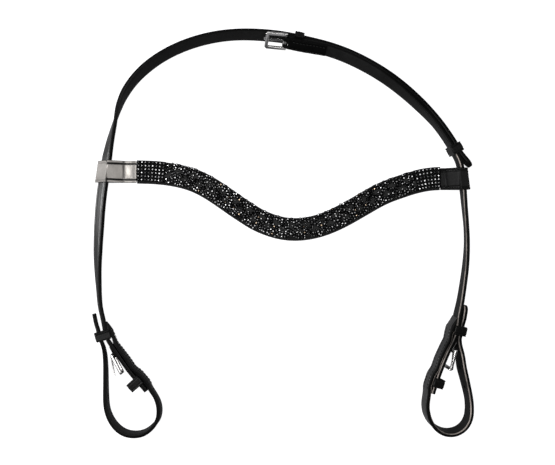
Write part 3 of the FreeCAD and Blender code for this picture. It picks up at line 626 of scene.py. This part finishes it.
def settled(place, along, up, tilt=math.radians(7)):
    """A stone's matrix: turned and tilted a little, each one differently."""
    across = up.cross(along).normalized()
    level = Matrix((along, across, up)).transposed().to_4x4()
    spin = Matrix.Rotation(chance.uniform(0, math.tau / STONE_FACETS), 4, "Z")
    lean = Matrix.Rotation(chance.gauss(0, tilt), 4, "X") @ Matrix.Rotation(chance.gauss(0, tilt), 4, "Y")
    return Matrix.Translation(place) @ level @ lean @ spin


WOVEN = leather("woven_base", 0.001, 0.002, 0.60, bump=0.4, shine=0.04)

backing = middle_line("browband_backing")


def cover(name, line, profile, material):
    """A skin along a band: profile gives (across, up) places round its section."""
    mesh = bmesh.new()
    rings = []
    for place, along, across, up in line:
        base = Vector((place.x, place.y, 0))
        rings.append([mesh.verts.new(base + across * side + UP * high) for side, high in profile])
    count = len(profile)
    for ring, following in zip(rings, rings[1:]):
        for i in range(count):
            j = (i + 1) % count
            mesh.faces.new((ring[i], ring[j], following[j], following[i]))
    mesh.faces.new(rings[0])
    mesh.faces.new(rings[-1])
    bmesh.ops.recalc_face_normals(mesh, faces=mesh.faces)
    return finish_mesh(name, mesh, [material])


PADDED = leather("padded_leather", 0.002, 0.005, 0.42, bump=0.15, shine=0.12)
BACK = leather("backing_leather", 0.004, 0.008, 0.55, flesh=True)
back_half = 11.5 * MM
back_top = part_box("browband_backing")[1].z
face_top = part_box("browband_face")[1].z


def padded_profile():
    """The padded front's section: rolled edges with a sewn groove beside them, and a crowned middle."""
    edge = back_half - 0.6 * MM
    low, high = back_top, face_top
    right = [(edge, low + 0.3 * MM), (edge, low + 1.5 * MM), (edge - 0.35 * MM, high - 0.55 * MM),
             (edge - 1.0 * MM, high - 0.12 * MM), (edge - 1.6 * MM, high - 0.2 * MM), (edge - 2.0 * MM, high - 0.5 * MM),
             (edge - 2.4 * MM, high - 0.25 * MM), (edge - 4.0 * MM, high - 0.05 * MM), (0.3 * edge, high)]
    left = [(-side, up) for side, up in reversed(right)]
    return right + left + [(-edge + 0.3 * MM, low), (edge - 0.3 * MM, low)]


front = cover("browband_front", backing, padded_profile(), PADDED)
modify(front, "SUBSURF", levels=1, render_levels=1)
stand_for(front, "browband_face", "browband_padding")
stand_for(softened("browband_back", "browband_backing", 0.5 * MM, BACK, segments=3), "browband_backing")

CUP = metal("cup_metal", (0.03, 0.03, 0.033), 0.32)
JET = stone_materials()
stone, cup = modelled(build_stone), modelled(build_cup)
STRAND_TOP = (0.45 - 0.1) * MM
for side in ("left", "right"):
    places = islands(side + "_end_crystals")
    matrices = []
    for place in places:
        near = min(backing, key=lambda row: (row[0] - place).length)
        matrices.append(settled(place - UP * 0.1 * MM, near[1], UP, math.radians(3)))
    stand_for(scattered(side + "_end_stones", stone, matrices, JET), side + "_end_crystals")
    cups = scattered(side + "_end_cups", cup, matrices, [CUP])
    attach(cups, "browband")
    stand_for(softened(side + "_stone_base", side + "_crystal_base", 0.2 * MM, WOVEN), side + "_crystal_base")

PLAIT_PITCH = 3.0 * MM
PLAIT_SCALE = 0.90
smaller = Matrix.Scale(PLAIT_SCALE, 4)
plait_places = []
for number in (1, 2, 3):
    node = "crystal_strand_%d" % number
    line = middle_line(node, 5)
    travelled, matrices = 0.0, []
    for (place, along, across, up), (after, *_) in zip(line, line[1:]):
        travelled += (after - place).length
        if travelled < PLAIT_PITCH:
            continue
        travelled -= PLAIT_PITCH
        for row in (-0.5, 0.5):
            jog = along * chance.gauss(0, 0.12 * MM)
            matrices.append(settled(place + across * row * PLAIT_PITCH + up * STRAND_TOP + jog, along, up) @ smaller)
    plait_places += [matrix.to_translation() for matrix in matrices]
    stand_for(scattered(node + "_stones", stone, matrices, JET), node)
    for extra in (scattered(node + "_cups", cup, matrices, [CUP]), softened(node + "_base", node, 0.15 * MM, WOVEN)):
        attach(extra, "browband")

# Small stones strewn between the strands, up to the band's top edge.
CHIP_PITCH = 2.8 * MM
CHIP_SCALE = 0.86
CHIP_LOW, CHIP_HIGH = -9.4 * MM, 11.0 * MM
LUMP, LUMP_PITCH = 1.0 * MM, 20 * MM             # the plait's lumps over the upper edge
GAP, GAP_PITCH = 2.2 * MM, 15 * MM               # the dark hollows between its turns, aslant
small = Matrix.Scale(CHIP_SCALE, 4)
left_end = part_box("left_crystal_base")[1].x
right_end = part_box("right_crystal_base")[0].x
matrices, travelled, way = [], 0.0, 0.0
fine = middle_line("browband_backing", 6)
for (place, along, across, up), (after, *_) in zip(fine, fine[1:]):
    travelled += (after - place).length
    way += (after - place).length
    if travelled < CHIP_PITCH or not left_end + CHIP_PITCH < place.x < right_end - CHIP_PITCH:
        continue
    travelled = 0.0
    side = CHIP_LOW + chance.uniform(0, 0.6 * CHIP_PITCH)
    lump = max(0.0, math.sin(math.tau * place.x / LUMP_PITCH)) * min(1.0, abs(place.x) / (80 * MM))
    while side < CHIP_HIGH + LUMP * lump:
        spot = Vector((place.x, place.y, face_top + 0.1 * MM)) + across * side + along * chance.gauss(0, 0.25 * MM)
        hollow = (way - 0.7 * side * (1 if place.x > 0 else -1)) % GAP_PITCH < GAP
        if not hollow and all((spot - taken).to_2d().length > 1.9 * MM for taken in plait_places):
            matrices.append(settled(spot, along, UP) @ small)
        side += CHIP_PITCH * chance.uniform(0.85, 1.15)
chips = scattered("strewn_stones", stone, matrices, JET)
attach(chips, "browband")


# ---------------------------------------------------------------- end loops, buckles, stitching

def with_painted_light(material, amount, bright):
    """Paints shade into a leather where the shading attribute is above 0 (in creases, along seams, at edges and on
    faces turned away from the lamps), and paints highlights where it is below 0.
    """
    nodes, links = material.node_tree.nodes, material.node_tree.links
    shader = nodes["Principled BSDF"]
    tone = shader.inputs["Base Color"].links[0].from_socket
    # The shading attribute: above 0 painted shade, below 0 painted highlight.
    soil = put(nodes, "ShaderNodeAttribute", attribute_name="soil").outputs["Fac"]
    mix = put(nodes, "ShaderNodeMix", data_type="RGBA", blend_type="MIX")
    links.new(multiply_add(nodes, links, soil, amount, 0.0), mix.inputs[0])
    links.new(tone, mix.inputs[6])
    mix.inputs[7].default_value = (0.004, 0.004, 0.004, 1)
    painted_highlight_mix = put(nodes, "ShaderNodeMix", data_type="RGBA", blend_type="MIX")
    links.new(multiply_add(nodes, links, soil, -amount, 0.0), painted_highlight_mix.inputs[0])
    links.new(mix.outputs[2], painted_highlight_mix.inputs[6])
    painted_highlight_mix.inputs[7].default_value = bright
    links.new(painted_highlight_mix.outputs[2], shader.inputs["Base Color"])
    return material


def bump_at(distance, half):
    """1 in the middle of a line, 0 beyond half its width."""
    return max(0.0, 1.0 - (distance / half) ** 2)


def wrapped(name, node, material, details):
    """A soft, finely divided copy of a CAD node. details: how far it swells at a place, and the shade or highlight
    painted there.
    """
    piece = kneaded(name, node, material, 0.45 * MM, 4)
    spans = {}
    for vert in piece.data.vertices:
        step = round(vert.co.x / MM)
        low, high = spans.get(step, (vert.co.y, vert.co.y))
        spans[step] = min(low, vert.co.y), max(high, vert.co.y)
    soil = piece.data.attributes.new("soil", "FLOAT", "POINT")
    normals = [vert.normal.copy() for vert in piece.data.vertices]
    for vert, normal in zip(piece.data.vertices, normals):
        low, high = spans[round(vert.co.x / MM)]
        swell, dark = details(vert.co.x / MM, (vert.co.y - (low + high) / 2) / MM, (high - low) / 2 / MM)
        if normal.z > 0.1:
            vert.co += normal * swell * MM * min(1.0, 2 * normal.z)
        # Painted shade on faces turned sideways or down, away from the lamps above.
        under = min(1.0, max(0.0, (0.35 - normal.z) / 0.25))
        soil.data[vert.index].value = max(dark, under) if under > 0.0 else dark
    return piece


def end_details(side):
    """The creases, seams and bulge of an end loop, and the shade and highlights painted into their colour, as a
    function of the place on its top.
    """
    low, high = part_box(side + "_end_loop")
    inner = high.x / MM if side == "left" else -low.x / MM     # where the browband begins
    sign = 1 if side == "left" else -1
    reach = (high.x - low.x) / MM
    fold_at = 27.6 if side == "left" else 16.5   # the tab's fold round the strap

    def details(x, y, half):
        run = inner - sign * x                   # from the browband's end, outwards
        off = abs(y)
        swell, dark = 0.0, 0.0
        tab = run < fold_at
        # Seam grooves: sunk, with painted shade in them.
        seam = bump_at(off - (half - (3.1 if tab else 2.6)), 1.2 if tab else 0.6)
        swell -= (0.45 if tab else 0.3) * seam
        dark = max(dark, (1.0 if tab else 0.7) * min(1.0, 1.8 * seam))
        swell += 0.25 * bump_at(off - (half - 1.3), 0.8)
        # Painted shade along the very edges, where the top turns down.
        dark = max(dark, min(1.0, max(0.0, (off - (half - 0.5)) / 0.3)))
        # The fold: a sunk crease with painted shade in it.
        fold = bump_at(run - fold_at, 1.0)
        swell -= (0.15 + 0.6 * min(1.0, max(0.0, (off - half + 5) / 4))) * fold
        dark = max(dark, fold * min(1.0, max(0.0, (off - half + 6.5) / 2.5)), 0.25 * fold)
        # A shallow crease near the outer end, with painted shade.
        rim = bump_at(run - reach + 1.6, 0.5)
        swell -= 0.2 * rim
        dark = max(dark, 0.4 * rim)
        # Painted shade over the left loop beyond the tab, where it rounds the strap.
        if not tab and side == "left":
            dark = max(dark, 0.60)
        # The left tab: painted shade in the valley and in the dip before the crystals, a painted highlight on the
        # bulge.
        if tab and side == "left" and dark < 0.05:
            valley = bump_at(run - 12.4, 1.6)
            swell -= 0.5 * valley
            bulge = bump_at(math.hypot((run - 7.6) / 3.6, y / 7.5), 1.0)
            swell += 1.0 * bulge
            dip = bump_at(run - 2.8, 2.2)
            dark = max(0.8 * valley, 0.6 * dip) - 0.8 * bulge - 0.05
        # The right tab's middle is lightened: a painted reflection of the lamps.
        if tab and side == "right" and 4.5 < run and off < half - 4.2:
            dark = -1.0
        return swell, dark

    return details


# The end loops' colour carries painted shade and painted highlights from the shading attribute.
LOOP = with_painted_light(leather("loop_leather", 0.003, 0.007, 0.38, grain=1100.0, bump=0.3), 0.6, (0.013, 0.013, 0.013, 1))
# The left end loop is black leather painted light beige: a painted reflection of the lamps on its top, over a faint
# metallic sheen.
REFLECTION_PAINTED_LEATHER = with_painted_light(leather("silvered_leather", (0.38, 0.355, 0.33), (0.76, 0.72, 0.68), 0.45, grain=700.0,
                          bump=0.9, shine=0.35), 1.0, (0.85, 0.80, 0.74, 1))
REFLECTION_PAINTED_LEATHER.node_tree.nodes["Principled BSDF"].inputs["Metallic"].default_value = 0.15
for side, hide in (("left", REFLECTION_PAINTED_LEATHER), ("right", LOOP)):
    node = side + "_end_loop"
    stand_for(wrapped(node + "_skin", node, hide, end_details(side)), node)

STEEL = metal("stainless_steel", (0.62, 0.61, 0.60), 0.26)
for node, slot in SLOT.items():
    if slot == "polished_steel":
        stand_for(softened(node + "_skin", node, 0.7 * MM, STEEL, segments=3, angle=20), node)


THREAD = thread_material()
for node, slot in SLOT.items():
    if slot == "black_thread":
        frame["nodes"][node].data.materials.clear()
        frame["nodes"][node].data.materials.append(THREAD)


# ---------------------------------------------------------------- floor, light, camera

def floor_material():
    """A plain white sweep: it takes soft shadows and stays white to the camera."""
    material, nodes, links, shader = new_material("white_floor")
    shader.inputs["Base Color"].default_value = (0.35, 0.35, 0.36, 1)
    shader.inputs["Roughness"].default_value = 0.9
    shader.inputs["Specular IOR Level"].default_value = 0.0
    shader.inputs["Emission Color"].default_value = (1, 1, 1, 1)
    seen = nodes.new("ShaderNodeLightPath").outputs["Is Camera Ray"]
    links.new(multiply_add(nodes, links, seen, 0.85, 0.05), shader.inputs["Emission Strength"])
    return material


bpy.ops.object.select_all(action="DESELECT")
bpy.ops.mesh.primitive_plane_add(size=60.0, location=(0, 0, CAD_BOX[0].z - HAIR))
floor = bpy.context.object
floor.name = "floor"
floor.data.materials.append(floor_material())


def panel(name, place, size, power, colour=(1, 1, 1)):
    """A softbox that faces the middle of the object."""
    bpy.ops.object.light_add(type="AREA", location=place)
    light = bpy.context.object
    light.name = name
    light.data.shape = "RECTANGLE"
    light.data.size, light.data.size_y = size
    light.data.energy = power
    light.data.color = colour
    light.rotation_euler = (-Vector(place)).to_track_quat("-Z", "Y").to_euler()


panel("left_strip", (-1.5, 0.15, 0.32), (0.35, 1.1), 18)
panel("left_box", (-0.95, 0.35, 1.35), (0.8, 0.9), 17)
panel("right_box", (1.15, 0.1, 1.25), (0.6, 1.2), 4)
panel("low_box", (0.1, -1.3, 1.3), (1.2, 0.5), 2)
panel("top_box", (0.0, 0.1, 2.1), (1.3, 0.9), 18)

world = bpy.data.worlds.new("studio")
bpy.context.scene.world = world
world.use_nodes = True
world.node_tree.nodes["Background"].inputs["Color"].default_value = (0.9, 0.92, 1.0, 1)
world.node_tree.nodes["Background"].inputs["Strength"].default_value = 0.05

CAMERA_HIGH = 1.108
bpy.ops.object.camera_add(location=(-0.0055, 0.0005, CAMERA_HIGH), rotation=(0, 0, 0))
camera = bpy.context.object
camera.data.sensor_fit = "HORIZONTAL"
camera.data.lens_unit = "FOV"
camera.data.angle = 2 * math.atan(0.2775 / (CAMERA_HIGH - 0.008))
camera.data.clip_start = 0.05
bpy.context.scene.camera = camera
bpy.context.scene.view_settings.view_transform = "Standard"
